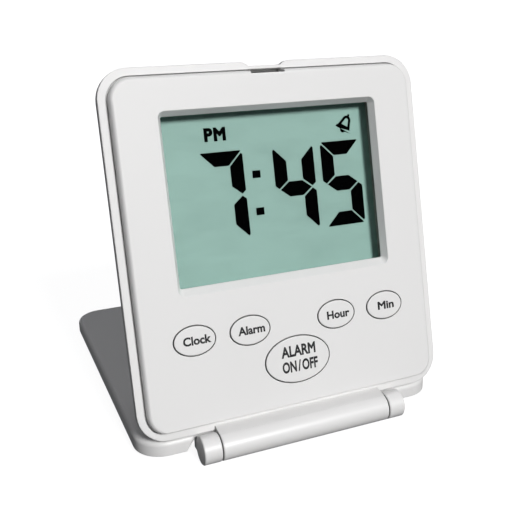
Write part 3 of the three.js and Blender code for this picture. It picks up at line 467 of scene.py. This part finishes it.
# ---------------------------------------------------------------------------
# Display: seven-segment figures, in millimetres on the face
# ---------------------------------------------------------------------------
DIGIT_W = 5.75  # half a figure's width
DIGIT_H = 11.1  # half its height
BAR = 3.6  # thickness of the outer bars
MIDDLE_BAR = 2.05  # half the thickness of the middle one
MIDDLE_TIP = 1.05  # its tips stand this far in
TIP_RISE = 0.8 * MIDDLE_TIP  # and an upright bar's end slopes by this outside its own tip
BAR_GAP = 0.25  # half the gap between bars, measured along a side
CUT = 0.4  # outer corners are cut off by this

FRONT_GLASS_BACK = on_face("lcd_front_glass")[0].z
REAR_GLASS_LOW, REAR_GLASS_HIGH = on_face("lcd_rear_glass")
CRYSTAL_LEVEL = (FRONT_GLASS_BACK + REAR_GLASS_HIGH.z) / 2
CRYSTAL_T = 0.04 * MM
FIGURE_RISE = 0.3  # the figures stand this far above the glass's middle
MIDDLE_Y = (REAR_GLASS_LOW.y + REAR_GLASS_HIGH.y) / 2 / MM + FIGURE_RISE

TOP_BAR = [
    (-DIGIT_W + BAR_GAP + CUT, DIGIT_H),
    (DIGIT_W - BAR_GAP - CUT, DIGIT_H),
    (DIGIT_W - BAR_GAP - CUT / 2, DIGIT_H - CUT / 2),
    (DIGIT_W - BAR - BAR_GAP, DIGIT_H - BAR),
    (-DIGIT_W + BAR + BAR_GAP, DIGIT_H - BAR),
    (-DIGIT_W + BAR_GAP + CUT / 2, DIGIT_H - CUT / 2),
]
RIGHT_BAR = [
    (DIGIT_W - BAR, MIDDLE_BAR + BAR_GAP),
    (DIGIT_W - MIDDLE_TIP, BAR_GAP),
    (DIGIT_W, BAR_GAP + TIP_RISE),
    (DIGIT_W, DIGIT_H - BAR_GAP - 2 * CUT),
    (DIGIT_W - CUT, DIGIT_H - BAR_GAP - CUT),
    (DIGIT_W - BAR, DIGIT_H - BAR - BAR_GAP),
]
MIDDLE = [
    (-DIGIT_W + MIDDLE_TIP + BAR_GAP, 0),
    (-DIGIT_W + BAR + BAR_GAP, MIDDLE_BAR - BAR_GAP / 2),
    (DIGIT_W - BAR - BAR_GAP, MIDDLE_BAR - BAR_GAP / 2),
    (DIGIT_W - MIDDLE_TIP - BAR_GAP, 0),
    (DIGIT_W - BAR - BAR_GAP, BAR_GAP / 2 - MIDDLE_BAR),
    (-DIGIT_W + BAR + BAR_GAP, BAR_GAP / 2 - MIDDLE_BAR),
]


def flipped(outline, across=1, along=1):
    return [(x * across, y * along) for x, y in outline]


BARS = {
    "a": TOP_BAR,
    "b": RIGHT_BAR,
    "c": flipped(RIGHT_BAR, along=-1),
    "d": flipped(TOP_BAR, along=-1),
    "e": flipped(RIGHT_BAR, -1, -1),
    "f": flipped(RIGHT_BAR, across=-1),
    "g": MIDDLE,
}
# Each figure's middle, and which bars are dark.
FIGURES = {"digit_hour": (-13.2, "abc"), "digit_ten": (6.45, "bcfg"), "digit_unit": (20.05, "acdfg")}
COLON_X = -4.2
COLON_HALF = (1.1, 0.95)
COLON_RISE = 4.7
BELL_AT = (22.4, 76.1)
BELL_LEAN = math.radians(-30)
BELL_LINE = 0.72  # thickness of its drawn line
BELL_R = 1.25  # radius of its round top
BELL_ROUND_Y = 0.85  # and that round's centre
BELL_FOOT = (1.95, -1.3)
BELL_FLARE = 1.4  # the hollow's foot is this many line widths further in
SIGN_AT = (-14.1, 75.9)
SIGN_HEIGHT = 2.9
SIGN_WEIGHT = 0.085
SIGN_SPACING = 1.15


def moved(outline, x, y):
    return [((px + x) * MM, (py + y) * MM) for px, py in outline]


def arc(radius, start, end, steps, x=0.0, y=0.0):
    turns = [math.radians(start + (end - start) * i / steps) for i in range(steps + 1)]
    return [(x + radius * math.cos(turn), y + radius * math.sin(turn)) for turn in turns]


def bell_outlines():
    """A bell drawn in line: (its body with a hollow in it, the knob, rim and clapper)."""

    def body(inset):
        foot_x = BELL_FOOT[0] - BELL_FLARE * inset
        foot_y = BELL_FOOT[1] + inset
        return [(foot_x, foot_y)] + arc(BELL_R - inset, 0, 180, 10, y=BELL_ROUND_Y) + [(-foot_x, foot_y)]

    knob = [(-0.3, 1.9), (0.3, 1.9), (0.3, 2.6), (-0.3, 2.6)]
    rim = [(-2.4, -1.85), (2.4, -1.85), (2.1, -1.15), (-2.1, -1.15)]
    clapper = arc(0.8, 180, 360, 8, y=-1.8)
    return [body(0), body(BELL_LINE)], [knob, rim, clapper]


def make_display():
    level = Matrix.Translation((0, 0, CRYSTAL_LEVEL))

    def draw(name, outlines):
        stamp(name, outline_curve(name, outlines), level, CRYSTAL_T, DISPLAY_INK, "clock")

    for name, (x, bars) in FIGURES.items():
        draw(name, [moved(BARS[bar], x, MIDDLE_Y) for bar in bars])
    w, h = COLON_HALF
    dot = [(-w, -h), (w, -h), (w, h), (-w, h)]
    draw("colon", [moved(dot, COLON_X, MIDDLE_Y + side * COLON_RISE) for side in (-1, 1)])
    turn = Matrix.Rotation(BELL_LEAN, 2)
    for name, outlines in zip(("bell_body", "bell_rim"), bell_outlines()):
        turned = [[tuple(turn @ Vector(point)) for point in outline] for outline in outlines]
        draw(name, [moved(outline, *BELL_AT) for outline in turned])
    place = Matrix.Translation((SIGN_AT[0] * MM, SIGN_AT[1] * MM, CRYSTAL_LEVEL))
    curve = text_curve("sign_pm", "PM", SIGN_HEIGHT * MM, SIGN_WEIGHT)
    curve.space_character = SIGN_SPACING
    stamp("sign_pm", curve, place, CRYSTAL_T, DISPLAY_INK, "clock")


# ---------------------------------------------------------------------------
# Key labels
# ---------------------------------------------------------------------------
LABEL_T = 0.02 * MM
LABEL_WEIGHT = 0.055
LABEL_WORD_GAP = 0.55
LABEL_SHIFT = 0.4  # all the labels are printed a little to the right, in millimetres
SMALL_CAPITAL = 1.95
LARGE_CAPITAL = 2.6
# Name, words, key, rise above the key's middle, height of a capital, stretch in width.
LABELS = [
    ("label_clock", "Clock", "key_clock", -0.05, SMALL_CAPITAL, 1.0),
    ("label_alarm", "Alarm", "key_alarm", 0.0, SMALL_CAPITAL, 1.0),
    ("label_hour", "Hour", "key_hour", -0.15, SMALL_CAPITAL, 1.05),
    ("label_min", "Min", "key_min", -0.1, SMALL_CAPITAL, 1.2),
    ("label_on_off_upper", "ALARM", "key_alarm_on_off", 2.1, LARGE_CAPITAL, 0.78),
    ("label_on_off_lower", "ON / OFF", "key_alarm_on_off", -1.85, LARGE_CAPITAL, 0.66),
]


def make_labels():
    for name, words, key, rise, height, width in LABELS:
        low, high = on_face(key)
        middle = (low + high) / 2
        curve = text_curve(name, words, height * MM, LABEL_WEIGHT, LABEL_WORD_GAP)
        centre = Vector((middle.x + LABEL_SHIFT * MM, middle.y + rise * MM, high.z + LABEL_T / 2))
        place = Matrix.Translation(centre) @ Matrix.Diagonal((width, 1, 1, 1))
        stamp(name, curve, place, LABEL_T, LABEL_INK, key)


make_display()
make_labels()


# ---------------------------------------------------------------------------
# Stage
# ---------------------------------------------------------------------------
FLOOR_RADIUS = 3.0
SWEEP_RADIUS = 1.5
SWEEP_STEPS = 8
WALL_TOP = 4.5
FLOOR_ROUND = 64  # sides all round


def make_floor():
    """A round floor that sweeps up into a wall all round. Only the camera sees it, so it lights nothing."""
    sweep = arc(SWEEP_RADIUS, -90, 0, SWEEP_STEPS, x=FLOOR_RADIUS, y=SWEEP_RADIUS)
    profile = [(0.0, 0.0)] + sweep + [(FLOOR_RADIUS + SWEEP_RADIUS, WALL_TOP)]
    mesh = bpy.data.meshes.new("floor")
    shape = bmesh.new()
    line = [shape.verts.new((x, 0, z)) for x, z in profile]
    edges = [shape.edges.new(pair) for pair in zip(line, line[1:])]
    whole = {"axis": (0, 0, 1), "cent": (0, 0, 0), "angle": math.tau, "steps": FLOOR_ROUND}
    bmesh.ops.spin(shape, geom=line + edges, **whole)
    bmesh.ops.remove_doubles(shape, verts=shape.verts, dist=MM)
    bmesh.ops.recalc_face_normals(shape, faces=shape.faces)
    shape.to_mesh(mesh)
    shape.free()
    mesh.materials.append(stage_floor())
    floor = bpy.data.objects.new("floor", mesh)
    floor.visible_diffuse = False
    floor.visible_glossy = False
    floor.visible_shadow = False
    bpy.context.scene.collection.objects.link(floor)


def make_sun(name, heading, height, softness, strength):
    """A soft far light. Its heading, in degrees, is from in front of the clock towards its right."""
    data = bpy.data.lights.new(name, "SUN")
    data.energy = strength
    data.angle = math.radians(softness)
    light = bpy.data.objects.new(name, data)
    bpy.context.scene.collection.objects.link(light)
    turn = Matrix.Rotation(math.radians(heading), 4, "Z")
    light.matrix_world = turn @ Matrix.Rotation(math.radians(90 - height), 4, "X")
    return light


WORLD_COLOUR = (0.93, 0.95, 1, 1)
WORLD_LOW = (0.25, 0.06)  # up to this height of its direction, on a scale of 1, the world has this strength
WORLD_HIGH = (0.9, 0.25)  # and from this height on this one


def make_world():
    """Soft studio light from all round, strongest from above."""
    world = bpy.data.worlds.new("studio")
    world.use_nodes = True
    nodes, links = world.node_tree.nodes, world.node_tree.links
    nodes["Background"].inputs["Color"].default_value = WORLD_COLOUR
    direction = nodes.new("ShaderNodeTexCoord")
    axes = nodes.new("ShaderNodeSeparateXYZ")
    ramp = nodes.new("ShaderNodeMapRange")
    ramp.inputs["From Min"].default_value, ramp.inputs["To Min"].default_value = WORLD_LOW
    ramp.inputs["From Max"].default_value, ramp.inputs["To Max"].default_value = WORLD_HIGH
    links.new(direction.outputs["Generated"], axes.inputs["Vector"])
    links.new(axes.outputs["Z"], ramp.inputs["Value"])
    links.new(ramp.outputs["Result"], nodes["Background"].inputs["Strength"])
    bpy.context.scene.world = world


def make_light():
    make_world()
    make_sun("key", heading=11, height=32, softness=17, strength=2.88)
    back = make_sun("back", heading=187, height=3, softness=30, strength=0.6)
    back.visible_glossy = False  # it lights the clock's back and puts no shine on the cover
    bpy.context.scene.view_settings.view_transform = "Standard"


make_floor()
make_light()
